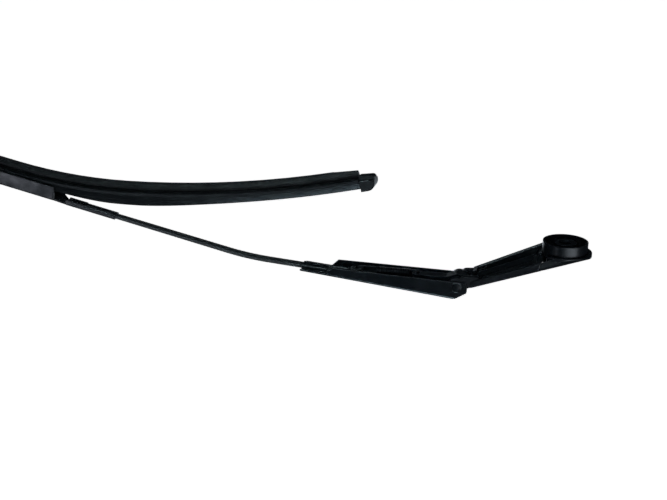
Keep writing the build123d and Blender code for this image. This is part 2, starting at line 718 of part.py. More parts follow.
def tip_carrier():
    """Stamped tip: crimped on the rod, then a box open to the glass for the adapter."""
    outside = upright(carrier_plan(0), -BOX_WIDTH, BOX_WIDTH) & across(carrier_side(0), BOX_WIDTH)
    inside = upright(carrier_plan(SHEET), -BOX_WIDTH, BOX_WIDTH) & across(carrier_side(SHEET), BOX_WIDTH)
    flap_level = ROD_THICKNESS / 2 + PRESS_FIT
    inside -= Pos(CRIMP_START, 0, flap_level) * Box(
        CRIMP_LENGTH, BOX_WIDTH, BOX_WIDTH, align=(Align.MIN, Align.CENTER, Align.MIN)
    )
    seam = Pos(CRIMP_START, 0, 0) * Box(
        CRIMP_LENGTH, CRIMP_SEAM, BOX_WIDTH, align=(Align.MIN, Align.CENTER, Align.MIN)
    )
    outside = fillet(fold_edges(outside), BOX_BEND)
    neck_width = ROD_TIP_WIDTH + 2 * (PRESS_FIT + SHEET)
    crimp_end = Pos(CRIMP_START, 0, ROD_THICKNESS / 2 + SHEET + PRESS_FIT) * Box(
        CRIMP_LENGTH, neck_width, BOX_WIDTH, align=(Align.MIN, Align.CENTER, Align.MAX)
    )
    outside -= crimp_end - rounded_top(crimp_end)
    button = upright(Pos(BUTTON_X, 0) * Circle(BUTTON_HOLE_DIAMETER / 2), -BOX_WIDTH, BOX_FLOOR + SHEET)
    return TIP * (outside - inside - seam - button)


# Adapter, pivot pin and connector, drawn about the blade pivot
def blade_adapter():
    """Moulded clip in the box: two bored cheeks, an end wall and a lock button."""
    floor = BOX_FLOOR + SHEET - PIVOT_RISE + SLIDE_GAP
    half_width = BOX_WIDTH / 2 - SHEET - SLIDE_GAP
    length = 2 * ADAPTER_HALF_LENGTH
    crest = ADAPTER_CREST / 2
    end_top = ADAPTER_TOP - (ADAPTER_HALF_LENGTH - crest) * tan(radians(ADAPTER_FALL_ANGLE))
    side = [(crest, ADAPTER_TOP), (ADAPTER_HALF_LENGTH, end_top), (ADAPTER_HALF_LENGTH, floor)]
    block = across(mirrored(side), 2 * half_width)
    slot = Pos(ADAPTER_END_WALL - ADAPTER_HALF_LENGTH, 0, floor + ADAPTER_FLOOR) * Box(
        2 * length, WEB_WIDTH + 2 * BODY_GAP, length, align=(Align.MIN, Align.CENTER, Align.MIN)
    )
    swing = Pos(-WEB_TIP_RADIUS - BODY_GAP, 0, floor) * Box(
        length, WEB_WIDTH + 2 * BODY_GAP, length, align=(Align.MIN, Align.CENTER, Align.MIN)
    )
    bore = across(disc(0, 0, PIVOT_DIAMETER + 2 * RUN_FIT), BOX_WIDTH)
    button_radius = BUTTON_HOLE_DIAMETER / 2 - BODY_GAP
    button_face = BOX_FLOOR - PIVOT_RISE
    button = upright(Pos(BUTTON_X, 0) * Circle(button_radius), button_face, floor + ADAPTER_FLOOR)
    return BLADE * (block - slot - swing - bore + button)


def pivot_pin():
    """Pin fixed in the connector's web that turns in the adapter's cheeks."""
    length = BOX_WIDTH - 2 * SHEET - 2 * BODY_GAP
    return BLADE * across(disc(0, 0, PIVOT_DIAMETER), length)


def blade_connector():
    """Base clamped round the rails, with a web down to the pivot pin."""
    base = Pos(0, 0, RAIL_RISE) * Box(2 * BASE_HALF_LENGTH, BASE_WIDTH, BASE_THICKNESS)
    base = fillet(base.edges().filter_by(Axis.Y), BASE_ROUND)
    root = Pos(0, RAIL_RISE) * Rectangle(WEB_LENGTH, BASE_THICKNESS)
    web = across(hull(disc(0, 0, 2 * WEB_TIP_RADIUS), root), WEB_WIDTH)
    rails = Pos(0, 0, RAIL_RISE) * (rail(1, SLIDE_GAP) + rail(-1, SLIDE_GAP))
    rubber_room = Pos(0, 0, RAIL_RISE) * along_run(rubber_section(SLIDE_GAP), 0, 2 * BASE_HALF_LENGTH)
    rubber_room += mirror(rubber_room, about=Plane.YZ)
    pin_bore = across(disc(0, 0, PIVOT_DIAMETER + 2 * PRESS_FIT), BOX_WIDTH)
    return BLADE * (base + web - rails - rubber_room - pin_bore)


# Blade: every section is drawn about the rails and carried along the blade's curve
def run_place(s):
    """Place on the outer half of the blade's curve at a distance from the pivot."""
    if s <= STRAIGHT_HALF:
        return Pos(s, 0, 0)
    first = min(s - STRAIGHT_HALF, INNER_ARC)
    place = Pos(STRAIGHT_HALF, 0, INNER_ARC_RADIUS) * Rot(0, -degrees(first / INNER_ARC_RADIUS), 0)
    place = place * Pos(0, 0, -INNER_ARC_RADIUS)
    second = s - STRAIGHT_HALF - first
    if second > 0:
        place = place * Pos(0, 0, OUTER_ARC_RADIUS) * Rot(0, -degrees(second / OUTER_ARC_RADIUS), 0)
        place = place * Pos(0, 0, -OUTER_ARC_RADIUS)
    return place


def run_path(start, end):
    """Straight run and tangent arcs of the curve between two distances."""
    stops = [start] + [s for s in (STRAIGHT_HALF, STRAIGHT_HALF + INNER_ARC) if start < s < end] + [end]
    edges = []
    for a, b in zip(stops, stops[1:]):
        points = [run_place(s).position for s in (a, (a + b) / 2, b)]
        edges.append(Line(points[0], points[2]) if b <= STRAIGHT_HALF else ThreePointArc(*points))
    return Wire(edges)


def along_run(section, start, end):
    """Section carried along the outer half of the blade between two distances."""
    return sweep(run_place(start) * (Plane.YZ * section), path=run_path(start, end))


def full_run(section, end):
    """Section carried along both halves of the blade."""
    half = along_run(section, 0, end)
    return half + mirror(half, about=Plane.YZ)


def rail_section(side, gap):
    """Flat spring-steel strip on one side of the rubber."""
    centre = side * (RAIL_GAP + RAIL_WIDTH) / 2
    return Pos(centre, 0) * Rectangle(RAIL_WIDTH + 2 * gap, RAIL_THICKNESS + 2 * gap)


def rail(side, gap):
    """Curved rail over the whole blade, or the slot for it."""
    return full_run(rail_section(side, gap), CAP_START + RAIL_CAP_ENTRY + gap)


def rubber_section(gap):
    """Wiper rubber: lip, stop wings, tilting web, shoulder, rail grooves and head."""
    tip = LIP_TIP_WIDTH / 2 + gap
    root = LIP_ROOT_WIDTH / 2 + gap
    wing = WING_WIDTH / 2 + gap
    web = TILT_WEB_WIDTH / 2 + gap
    groove = RAIL_GAP / 2 - SLIDE_GAP + gap
    shoulder = CLAW_INNER - SLIDE_GAP + gap
    head = RUBBER_HEAD_WIDTH / 2 + gap
    face = RAIL_FACE - gap
    return mirrored(
        [
            (tip, LIP_HEIGHT + gap),
            (root, LIP_ROOT_RISE),
            (wing, WING_TOP),
            (wing, WING_BOTTOM),
            (web, TILT_WEB_TOP),
            (web, TILT_WEB_BOTTOM + gap),
            (shoulder, SHOULDER_TOP + gap),
            (shoulder, face),
            (groove, face),
            (groove, -face),
            (head, -face),
            (head, -RUBBER_HEAD_DEPTH - gap),
        ]
    )


def wiper_rubber():
    """Rubber profile over the whole blade, between the end caps."""
    end = CAP_START - SPOILER_END_GAP
    corner = run_place(end) * across(
        polygon([(-LIP_END_CUT, LIP_HEIGHT), (LIP_END_CUT, LIP_HEIGHT), (0, LIP_HEIGHT - LIP_END_DROP)]),
        WING_WIDTH,
    )
    corners = corner + mirror(corner, about=Plane.YZ)
    return RUN * (full_run(rubber_section(0), end) - corners)


def spoiler_section():
    """Spoiler: claws over the rails and hollow sides that narrow to the outer edge."""
    half = SPOILER_WIDTH / 2
    edge = SPOILER_EDGE / 2
    top = RAIL_FACE + SPOILER_CLAW
    flank = ThreePointArc(
        (half, -RAIL_FACE), (SPOILER_WAIST / 2, -SPOILER_WAIST_DEPTH), (edge, -SPOILER_DEPTH)
    )
    outline = make_face(
        Curve()
        + [
            Polyline((-half, -RAIL_FACE), (-half, top), (half, top), (half, -RAIL_FACE)),
            flank,
            Line((edge, -SPOILER_DEPTH), (-edge, -SPOILER_DEPTH)),
            mirror(flank, about=Plane.YZ),
        ]
    )
    head = RUBBER_HEAD_WIDTH / 2 + SLIDE_GAP
    room = mirrored(
        [
            (CLAW_INNER, top + SPOILER_CLAW),
            (CLAW_INNER, RAIL_FACE),
            (RAIL_EDGE, RAIL_FACE),
            (RAIL_EDGE, -RAIL_FACE),
            (head, -RAIL_FACE),
            (head, -RUBBER_HEAD_DEPTH - SLIDE_GAP),
            (edge, -SPOILER_HOLLOW_DEPTH),
        ]
    )
    return outline - room


def spoiler_edge(s, depth):
    """Side-view place of the spoiler's outer edge at a depth under the rails."""
    place = (run_place(s) * Pos(0, 0, -depth)).position
    return (place.X, place.Z)


def spoiler():
    """Outer spoiler half, shallow over the arm's tip and towards the blade's end."""
    body = along_run(spoiler_section(), SPOILER_START, CAP_START - SPOILER_END_GAP)
    points = [
        spoiler_edge(SPOILER_START, SPOILER_RELIEF_DEPTH),
        spoiler_edge(SPOILER_RELIEF_END, SPOILER_RELIEF_DEPTH),
        spoiler_edge(SPOILER_ROOT, SPOILER_ROOT_DEPTH),
        spoiler_edge((SPOILER_ROOT + SPOILER_TIP) / 2, (SPOILER_ROOT_DEPTH + SPOILER_TIP_DEPTH) / 2),
        spoiler_edge(SPOILER_TIP, SPOILER_TIP_DEPTH),
        spoiler_edge(BLADE_HALF_LENGTH, SPOILER_TIP_DEPTH),
    ]
    first, last = points[0], points[-1]
    depth = -BLADE_HALF_LENGTH
    below = Polyline(last, (last[0], depth), (0, depth), (0, first[1]), first)
    return body - across(make_face(Curve() + [Spline(points), below]), 2 * SPOILER_WIDTH)


def spoiler_outer():
    """Spoiler half beyond the connector."""
    return RUN * spoiler()


def spoiler_inner():
    """Spoiler half between the connector and the hinge side."""
    return RUN * mirror(spoiler(), about=Plane.YZ)


def end_cap():
    """Outer end cap with a rounded nose and slots for the rail ends."""
    place = run_place(CAP_START)
    lower = polygon([(0, CAP_STEP), (CAP_LENGTH, CAP_STEP), (CAP_LENGTH, -CAP_DEPTH), (0, -CAP_DEPTH)])
    brow_z = CAP_TOP - CAP_TOP_FALL
    upper = polygon([(0, CAP_STEP), (CAP_LENGTH, CAP_STEP), (CAP_LENGTH, brow_z), (0, CAP_TOP)])
    body = across(lower, CAP_WIDTH)
    nose = body.edges().filter_by(Axis.Y).group_by(Axis.X)[-1].sort_by(Axis.Z)[0]
    body = fillet(nose, CAP_NOSE_RADIUS)
    crest = across(upper, CAP_TOP_WIDTH)
    brow = crest.edges().filter_by(Axis.Y).group_by(Axis.X)[-1].sort_by(Axis.Z)[-1]
    body += fillet(brow, CAP_BROW_RADIUS)
    slots = place.inverse() * (rail(1, SLIDE_GAP) + rail(-1, SLIDE_GAP))
    return place * (body - slots)


def end_cap_outer():
    """End cap at the free end of the blade."""
    return RUN * end_cap()


def end_cap_inner():
    """End cap at the hinge end of the blade."""
    return RUN * mirror(end_cap(), about=Plane.YZ)


def far_side(part):
    """The far one of a mirrored pair."""
    return mirror(part, about=Plane.XZ)


NODES = {
    "arm_head": arm_head(),
    "nut_cover": nut_cover(),
    "hinge_bush_near": hinge_bush(),
    "hinge_bush_far": far_side(hinge_bush()),
    "hinge_rivet_near": hinge_rivet(),
    "hinge_rivet_far": far_side(hinge_rivet()),
    "spring_bar": spring_bar(),
    "spring_strap": spring_strap(),
    "tension_spring": tension_spring(),
    "retainer": retainer(),
    "arm_rod": arm_rod(),
    "tip_carrier": tip_carrier(),
    "blade_adapter": blade_adapter(),
    "pivot_pin": pivot_pin(),
    "blade_connector": blade_connector(),
    "rail_near": RUN * rail(1, 0),
    "rail_far": RUN * rail(-1, 0),
    "wiper_rubber": wiper_rubber(),
    "spoiler_inner": spoiler_inner(),
    "spoiler_outer": spoiler_outer(),
    "end_cap_inner": end_cap_inner(),
    "end_cap_outer": end_cap_outer(),
}

os.makedirs("parts", exist_ok=True)
for name, shape in NODES.items():
    export_step(shape, f"parts/{name}.step")
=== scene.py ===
import json
import logging
import math
from abc import ABC, abstractmethod
from dataclasses import dataclass
from enum import Enum
from typing import Any, Callable, Dict, List, Optional, Sequence, Tuple, Union

import bpy
from mathutils import Matrix, Vector


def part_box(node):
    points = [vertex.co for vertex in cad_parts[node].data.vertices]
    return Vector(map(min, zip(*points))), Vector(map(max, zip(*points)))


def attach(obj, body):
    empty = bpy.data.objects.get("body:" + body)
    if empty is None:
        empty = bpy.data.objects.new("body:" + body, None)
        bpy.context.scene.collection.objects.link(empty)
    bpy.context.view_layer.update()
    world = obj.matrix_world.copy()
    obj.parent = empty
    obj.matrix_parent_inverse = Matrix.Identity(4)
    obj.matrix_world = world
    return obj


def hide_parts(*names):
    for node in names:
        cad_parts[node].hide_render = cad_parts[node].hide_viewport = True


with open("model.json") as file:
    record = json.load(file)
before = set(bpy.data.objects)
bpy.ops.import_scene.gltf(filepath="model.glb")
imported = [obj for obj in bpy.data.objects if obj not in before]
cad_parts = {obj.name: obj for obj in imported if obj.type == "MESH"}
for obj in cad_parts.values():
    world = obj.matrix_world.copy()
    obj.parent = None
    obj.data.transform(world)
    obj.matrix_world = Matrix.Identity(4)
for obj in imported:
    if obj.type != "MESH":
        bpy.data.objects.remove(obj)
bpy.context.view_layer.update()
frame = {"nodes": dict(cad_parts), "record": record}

log = logging.getLogger("wiper_arm")
Colour = Tuple[float, float, float]
Triple = Tuple[float, float, float]
Pair = Tuple[float, float]
Materials = Dict[str, bpy.types.Material]

MM = 0.001
WHITE: Colour = (1.0, 1.0, 1.0)
# Middle of a noise or a ramp, about which gloss goes up and down
MIDDLE = 0.5
# Points nearer than this are one
MERGE_REACH = 0.002 * MM
# Least share of its normal that a picked face has along an axis
FACING = 0.9


class Body(Enum):
    """Moving bodies that carry modelled pieces, by their names in the record."""

    ARM = "arm"
    SPRING = "spring"


class Slot(Enum):
    """Material slots, by their names in the record."""

    HEAD_CASTING = "head_casting"
    ARM_SHEET = "arm_sheet"
    TIP_SHEET = "tip_sheet"
    ROD_BAR = "rod_bar"
    BLACK_MOULDING = "black_moulding"
    SPOILER_SKIN = "spoiler_skin"
    LIP_RUBBER = "lip_rubber"
    RAIL_STEEL = "rail_steel"
    PIN_STEEL = "pin_steel"
    SPRING_WIRE = "spring_wire"
    BUSH_BRONZE = "bush_bronze"


class Signal:
    """One shader socket that takes part in arithmetic."""

    def __init__(self, graph: "Graph", socket: bpy.types.NodeSocket) -> None:
        """Wraps a socket of a graph."""
        self.graph = graph
        self.socket = socket

    def _maths(self, operation: str, left: "Term", right: "Term") -> "Signal":
        """Adds one Math node for an operator."""
        return self.graph.node("ShaderNodeMath", {"operation": operation}, {0: left, 1: right})

    def __add__(self, other: "Term") -> "Signal":
        """Sum."""
        return self._maths("ADD", self, other)

    def __radd__(self, other: "Term") -> "Signal":
        """Sum with a number on the left."""
        return self._maths("ADD", other, self)

    def __sub__(self, other: "Term") -> "Signal":
        """Difference."""
        return self._maths("SUBTRACT", self, other)

    def __rsub__(self, other: "Term") -> "Signal":
        """Difference with a number on the left."""
        return self._maths("SUBTRACT", other, self)

    def __mul__(self, other: "Term") -> "Signal":
        """Product."""
        return self._maths("MULTIPLY", self, other)

    def __rmul__(self, other: "Term") -> "Signal":
        """Product with a number on the left."""
        return self._maths("MULTIPLY", other, self)

    def __gt__(self, other: "Term") -> "Signal":
        """1 where this is more than the other, else 0."""
        return self._maths("GREATER_THAN", self, other)

    def __lt__(self, other: "Term") -> "Signal":
        """1 where this is less than the other, else 0."""
        return self._maths("LESS_THAN", self, other)


Term = Union[Signal, float]


def rgba(colour: Colour, factor: float = 1.0) -> Tuple[float, float, float, float]:
    """Colour times a factor, with full alpha."""
    return (colour[0] * factor, colour[1] * factor, colour[2] * factor, 1.0)


class Graph:
    """Node tree of a material or of the room."""

    def __init__(self, tree: bpy.types.NodeTree) -> None:
        """Wraps a tree."""
        self.tree = tree

    def node(
        self,
        kind: str,
        settings: Optional[Dict[str, Any]] = None,
        inputs: Optional[Dict[Union[int, str], Any]] = None,
        output: Union[int, str] = 0,
    ) -> Signal:
        """Adds a node.

        Args:
            kind: The node's type.
            settings: Attributes, which are set first.
            inputs: Values or signals of its sockets.
            output: The socket that is returned.

        Returns:
            The chosen output.
        """
        made = self.tree.nodes.new(kind)
        for key, value in (settings or {}).items():
            setattr(made, key, value)
        for key, value in (inputs or {}).items():
            self.plug(made.inputs[key], value)
        return Signal(self, made.outputs[output])

    def plug(self, socket: bpy.types.NodeSocket, value: Any) -> None:
        """Links a signal to a socket, or sets its value.

        Args:
            socket: The socket.
            value: The signal or the value.
        """
        if isinstance(value, Signal):
            self.tree.links.new(value.socket, socket)
        else:
            socket.default_value = value

    def find(self, kind: str) -> bpy.types.Node:
        """Node of a type that the tree already holds."""
        return next(node for node in self.tree.nodes if node.type == kind)

    def ramp(self, value: Signal, low: float, high: float) -> Signal:
        """Value rescaled so that low gives 0 and high gives 1."""
        inputs = {"Value": value, "From Min": low, "From Max": high}
        return self.node("ShaderNodeMapRange", {"clamp": True}, inputs)

    def mix(self, share: Term, first: Any, second: Any) -> Signal:
        """Colour between two colours."""
        inputs = {0: share, 6: first, 7: second}
        return self.node("ShaderNodeMix", {"data_type": "RGBA"}, inputs, output=2)

    def tones(self, share: Term, colour: Colour, shades: Pair) -> Signal:
        """Colour between two shades of one colour."""
        return self.mix(share, rgba(colour, shades[0]), rgba(colour, shades[1]))


class Surface(Graph):
    """Node tree of one material round its Principled shader."""

    noise_roughness = 0.55
    edge_samples = 8
    bump_samples = 6
    gap_shade_samples = 6
    edge_turn: Pair = (0.02, 0.22)
    lit_edge_lift: Pair = (0.3, 0.75)
    # Painted shade in narrow gaps: how deep it sets in, and its black
    gap_shade_depth: Pair = (0.2, 0.45)
    gap_shade_black: Colour = (0.002, 0.002, 0.0025)

    def __init__(self, name: str) -> None:
        """Makes an empty material with its shader.

        Args:
            name: The material's name.
        """
        self.material = bpy.data.materials.new(name)
        self.material.use_nodes = True
        super().__init__(self.material.node_tree)
        self.shader = self.find("BSDF_PRINCIPLED")

    def set(self, **inputs: Any) -> None:
        """Sets sockets of the shader, with underscores for the spaces in their names."""
        for key, value in inputs.items():
            self.plug(self.shader.inputs[key.replace("_", " ")], value)

    def place(self, squeeze: float = 1.0) -> Signal:
        """Object coordinates, squeezed along X so that a pattern gets longer that way."""
        coordinates = self.node("ShaderNodeTexCoord", output="Object")
        return self.node("ShaderNodeMapping", {}, {"Vector": coordinates, "Scale": (squeeze, 1.0, 1.0)})

    def axis(self, name: str) -> Signal:
        """One object coordinate, in metres."""
        return self.node("ShaderNodeSeparateXYZ", {}, {0: self.place()}, name)

    def noise(self, place: Signal, scale: float, detail: float) -> Signal:
        """Noise value at a place, about 0.5 on average."""
        inputs = {"Vector": place, "Scale": scale, "Detail": detail, "Roughness": self.noise_roughness}
        return self.node("ShaderNodeTexNoise", {}, inputs, "Fac")

    def edges(self, width: float) -> Signal:
        """Marks the sharp edges on the glass side, which faces up here, for worn paint and a painted
        highlight.

        Args:
            width: How far from an edge the mark reaches, in metres.

        Returns:
            1 on such an edge, 0 a width away from it.
        """
        rounded = self.node("ShaderNodeBevel", {"samples": self.edge_samples}, {"Radius": width})
        flat = self.node("ShaderNodeNewGeometry", output="Normal")
        product = {"operation": "DOT_PRODUCT"}
        along = self.node("ShaderNodeVectorMath", product, {0: rounded, 1: flat}, "Value")
        # Only upward-facing edges are marked, so the mark is a painted highlight from light above
        turns = {"vector_type": "NORMAL", "convert_from": "WORLD", "convert_to": "OBJECT"}
        own = self.node("ShaderNodeVectorTransform", turns, {0: rounded})
        upward = self.node("ShaderNodeSeparateXYZ", {}, {0: own}, "Z")
        return self.ramp(1.0 - along, *self.edge_turn) * self.ramp(upward, *self.lit_edge_lift)

    def paint_gap_shade(self, reach: float) -> None:
        """Paints shade: turns the shader dull and black deep in narrow gaps, where little light gets in.

        Args:
            reach: How near the other wall of a gap is, in metres.
        """
        occlusion = {"samples": self.gap_shade_samples}
        openness = self.node("ShaderNodeAmbientOcclusion", occlusion, {"Distance": reach}, "AO")
        gap = self.ramp(1.0 - openness, *self.gap_shade_depth)
        dark = {"Base Color": rgba(self.gap_shade_black), "Roughness": 1.0, "Specular IOR Level": 0.0}
        # Black, dull shader: the painted shade for the depths of gaps
        painted_shade = self.node("ShaderNodeBsdfPrincipled", {}, dark)
        bright = Signal(self, self.shader.outputs[0])
        mixed = self.node("ShaderNodeMixShader", {}, {0: gap, 1: bright, 2: painted_shade})
        self.plug(self.find("OUTPUT_MATERIAL").inputs["Surface"], mixed)

    def bump(self, height: Signal, depth: float, strength: float, edge: float) -> Signal:
        """Normal that follows a height, over edges that look rounded.

        Args:
            height: The height, from 0 to 1.
            depth: What a height of 1 stands for, in metres.
            strength: Share of the bump that is used.
            edge: Radius that the edges seem to have, in metres.

        Returns:
            The normal.
        """
        rounded = self.node("ShaderNodeBevel", {"samples": self.bump_samples}, {"Radius": edge})
        inputs = {"Height": height, "Distance": depth, "Strength": strength, "Normal": rounded}
        return self.node("ShaderNodeBump", {}, inputs, "Normal")


@dataclass(frozen=True)
class Finish(ABC):
    """Surface finish of one material slot."""

    slot: Slot
    colour: Colour
    roughness: float
    edge: float = 0.35 * MM
    # Reach of the painted shade in narrow gaps, in metres; 0 for none
    gap: float = 0.0

    @abstractmethod
    def wire(self, surface: Surface) -> None:
        """Adds the finish's own nodes to a surface."""

    def material(self) -> bpy.types.Material:
        """Builds the finish.

        Returns:
            The new material.
        """
        surface = Surface(self.slot.value)
        self.wire(surface)
        # Painted shade deep in narrow gaps
        if self.gap:
            surface.paint_gap_shade(self.gap)
        return surface.material


@dataclass(frozen=True)
class CoatedMetal(Finish):
    """Black coating with orange peel, pale specks, worn edges with a painted highlight on the upper ones, and
    uneven gloss.
    """

    shine: float = 0.5
    unevenness: float = 0.12
    shades: Pair = (0.8, 1.25)
    mottle_scale: float = 120.0
    mottle_detail: float = 4.0
    mottle_span: Pair = (0.35, 0.7)
    speck: Colour = (0.028, 0.032, 0.038)
    speck_scale: float = 1800.0
    speck_detail: float = 2.0
    speck_span: Pair = (0.62, 0.75)
    speck_share: float = 0.25
    # Colour of the upper edges: partly worn paint, partly a painted highlight
    wear_and_highlight: Colour = (0.08, 0.084, 0.09)
    wear_and_highlight_share: float = 0.45
    wear_and_highlight_width: float = 0.6 * MM
    wear_and_highlight_patches: float = 0.6
    peel_scale: float = 900.0
    peel_detail: float = 2.0
    peel_depth: float = 0.05 * MM
    peel_strength: float = 0.35

    def wire(self, surface: Surface) -> None:
        """Adds mottled colour, worn edges lightened as a painted highlight, uneven gloss and the peel's bump.

        Args:
            surface: The surface of the coated piece.
        """
        place = surface.place()
        mottle = surface.ramp(surface.noise(place, self.mottle_scale, self.mottle_detail), *self.mottle_span)
        specks = surface.ramp(surface.noise(place, self.speck_scale, self.speck_detail), *self.speck_span)
        base = surface.tones(mottle, self.colour, self.shades)
        coat = surface.mix(specks * self.speck_share, base, rgba(self.speck))
        patches = 1.0 - self.wear_and_highlight_patches + mottle * self.wear_and_highlight_patches
        # Worn paint and a painted highlight on the upward edges, in patches
        worn_and_lit = surface.edges(self.wear_and_highlight_width) * patches * self.wear_and_highlight_share
        surface.set(Base_Color=surface.mix(worn_and_lit, coat, rgba(self.wear_and_highlight)))
        surface.set(Roughness=self.roughness + (mottle - MIDDLE) * self.unevenness)
        surface.set(Specular_IOR_Level=self.shine)
        peel = surface.noise(place, self.peel_scale, self.peel_detail)
        surface.set(Normal=surface.bump(peel, self.peel_depth, self.peel_strength, self.edge))


@dataclass(frozen=True)
class MouldedPlastic(Finish):
    """Moulded black plastic with a fine even grain."""

    unevenness: float = 0.1
    shades: Pair = (0.85, 1.2)
    cloud_scale: float = 70.0
    cloud_detail: float = 3.0
    cloud_span: Pair = (0.3, 0.7)
    grain_scale: float = 2600.0
    grain_detail: float = 1.0
    grain_depth: float = 0.03 * MM
    grain_strength: float = 0.4

    def wire(self, surface: Surface) -> None:
        """Adds the grain and a faint cloudiness.

        Args:
            surface: The surface of the moulded piece.
        """
        place = surface.place()
        cloud = surface.ramp(surface.noise(place, self.cloud_scale, self.cloud_detail), *self.cloud_span)
        surface.set(Base_Color=surface.tones(cloud, self.colour, self.shades))
        grain = surface.noise(place, self.grain_scale, self.grain_detail)
        surface.set(Roughness=self.roughness + (grain - MIDDLE) * self.unevenness)
        surface.set(Normal=surface.bump(grain, self.grain_depth, self.grain_strength, self.edge))


@dataclass(frozen=True)
class LipEnd:
    """Sloping cut at an end of the wiping lip, over which the solid keeps a hair of rubber."""

    start: Pair
    end: Pair
    margin: float = 0.03 * MM

    def hair(self, surface: Surface) -> Signal:
        """Marks the hair.

        Args:
            surface: The surface of the rubber.

        Returns:
            1 on the hair, which stands over the cut, else 0.
        """
        (x0, z0), (x1, z1) = self.start, self.end
        x, z = surface.axis("X"), surface.axis("Z")
        cut = z0 + (x - x0) * ((z1 - z0) / (x1 - x0))
        return (z - cut > self.margin) * (x > x0) * (x < x1)


@dataclass(frozen=True)
class Elastomer(Finish):
    """Rubber with dusty streaks along the blade."""

    shine: float = 0.3
    dust: Colour = (0.09, 0.1, 0.095)
    dust_share: float = 0.25
    dust_scale: float = 60.0
    dust_detail: float = 3.0
    dust_span: Pair = (0.3, 0.75)
    streak_scale: float = 600.0
    streak_detail: float = 3.0
    streak_squeeze: float = 0.06
    streak_span: Pair = (0.35, 0.7)
    streak_dullness: float = 0.12
    grain_scale: float = 1800.0
    grain_detail: float = 2.0
    grain_depth: float = 0.02 * MM
    grain_strength: float = 0.3
    ends: Tuple[LipEnd, ...] = ()

    def wire(self, surface: Surface) -> None:
        """Adds long streaks, dust and a soft grain, and leaves out the hairs at the ends.

        Args:
            surface: The surface of the rubber.
        """
        place = surface.place()
        drawn = surface.place(self.streak_squeeze)
        streaks = surface.ramp(surface.noise(drawn, self.streak_scale, self.streak_detail), *self.streak_span)
        clouds = surface.ramp(surface.noise(place, self.dust_scale, self.dust_detail), *self.dust_span)
        dusty = streaks * clouds * self.dust_share
        surface.set(Base_Color=surface.mix(dusty, rgba(self.colour), rgba(self.dust)))
        surface.set(Roughness=self.roughness + streaks * self.streak_dullness)
        surface.set(Specular_IOR_Level=self.shine)
        grain = surface.noise(place, self.grain_scale, self.grain_detail)
        surface.set(Normal=surface.bump(grain, self.grain_depth, self.grain_strength, self.edge))
        if self.ends:
            surface.set(Alpha=1.0 - sum(end.hair(surface) for end in self.ends))


@dataclass(frozen=True)
class BareMetal(Finish):
    """Uncoated metal with drawn lines and stains."""

    unevenness: float = 0.2
    shades: Pair = (1.0, 0.6)
    stain_scale: float = 150.0
    stain_detail: float = 3.0
    stain_span: Pair = (0.35, 0.75)
    line_scale: float = 1500.0
    line_detail: float = 2.0
    line_squeeze: float = 0.08
    line_depth: float = 0.01 * MM
    line_strength: float = 0.3

    def wire(self, surface: Surface) -> None:
        """Adds drawn lines, stains and a metallic shine.

        Args:
            surface: The surface of the bare piece.
        """
        place, drawn = surface.place(), surface.place(self.line_squeeze)
        stains = surface.ramp(surface.noise(place, self.stain_scale, self.stain_detail), *self.stain_span)
        surface.set(Base_Color=surface.tones(stains, self.colour, self.shades), Metallic=1.0)
        lines = surface.noise(drawn, self.line_scale, self.line_detail)
        surface.set(Roughness=self.roughness + (lines - MIDDLE) * self.unevenness)
        surface.set(Normal=surface.bump(lines, self.line_depth, self.line_strength, self.edge))


# Cuts at the lip's ends, as places along X and Z
INNER_LIP_END = LipEnd(start=(162.38 * MM, 46.18 * MM), end=(182.25 * MM, 43.3 * MM))
OUTER_LIP_END = LipEnd(start=(774.33 * MM, 174.56 * MM), end=(791.11 * MM, 185.56 * MM))

FINISHES: List[Finish] = [
    CoatedMetal(
        Slot.HEAD_CASTING,
        colour=(0.006, 0.007, 0.009),
        roughness=0.36,
        edge=0.2 * MM,
        gap=1.5 * MM,
        wear_and_highlight_share=0.1,
    ),
    CoatedMetal(
        Slot.ARM_SHEET,
        colour=(0.004, 0.006, 0.008),
        roughness=0.36,
        edge=0.2 * MM,
        shine=0.34,
        # Near-white upper edges: a painted highlight along the wall tops, with some wear
        wear_and_highlight=(0.6, 0.61, 0.62),
        wear_and_highlight_share=0.7,
        wear_and_highlight_width=0.45 * MM,
    ),
    CoatedMetal(
        Slot.TIP_SHEET,
        colour=(0.026, 0.0265, 0.029),
        roughness=0.36,
        edge=1.0 * MM,
        unevenness=0.3,
        mottle_scale=70.0,
    ),
    CoatedMetal(Slot.ROD_BAR, colour=(0.06, 0.061, 0.061), roughness=0.42),
    MouldedPlastic(
        Slot.BLACK_MOULDING,
        colour=(0.009, 0.0105, 0.0115),
        roughness=0.45,
        edge=0.2 * MM,
        gap=1.5 * MM,
    ),
    Elastomer(Slot.SPOILER_SKIN, colour=(0.006, 0.0075, 0.009), roughness=0.46, shine=0.4),
    Elastomer(
        Slot.LIP_RUBBER,
        colour=(0.005, 0.006, 0.006),
        roughness=0.42,
        ends=(INNER_LIP_END, OUTER_LIP_END),
    ),
    BareMetal(Slot.RAIL_STEEL, colour=(0.42, 0.42, 0.43), roughness=0.35),
    BareMetal(Slot.PIN_STEEL, colour=(0.40, 0.40, 0.41), roughness=0.35),
    BareMetal(Slot.SPRING_WIRE, colour=(0.028, 0.029, 0.031), roughness=0.38),
    BareMetal(Slot.BUSH_BRONZE, colour=(0.22, 0.15, 0.08), roughness=0.5),
]


@dataclass(frozen=True)
class Panel:
    """Soft light panel: size in metres, power in watts, spread in degrees."""

    name: str
    place: Triple
    aim: Triple
    size: Pair
    power: float
    tint: Colour
    spread: float = 180.0


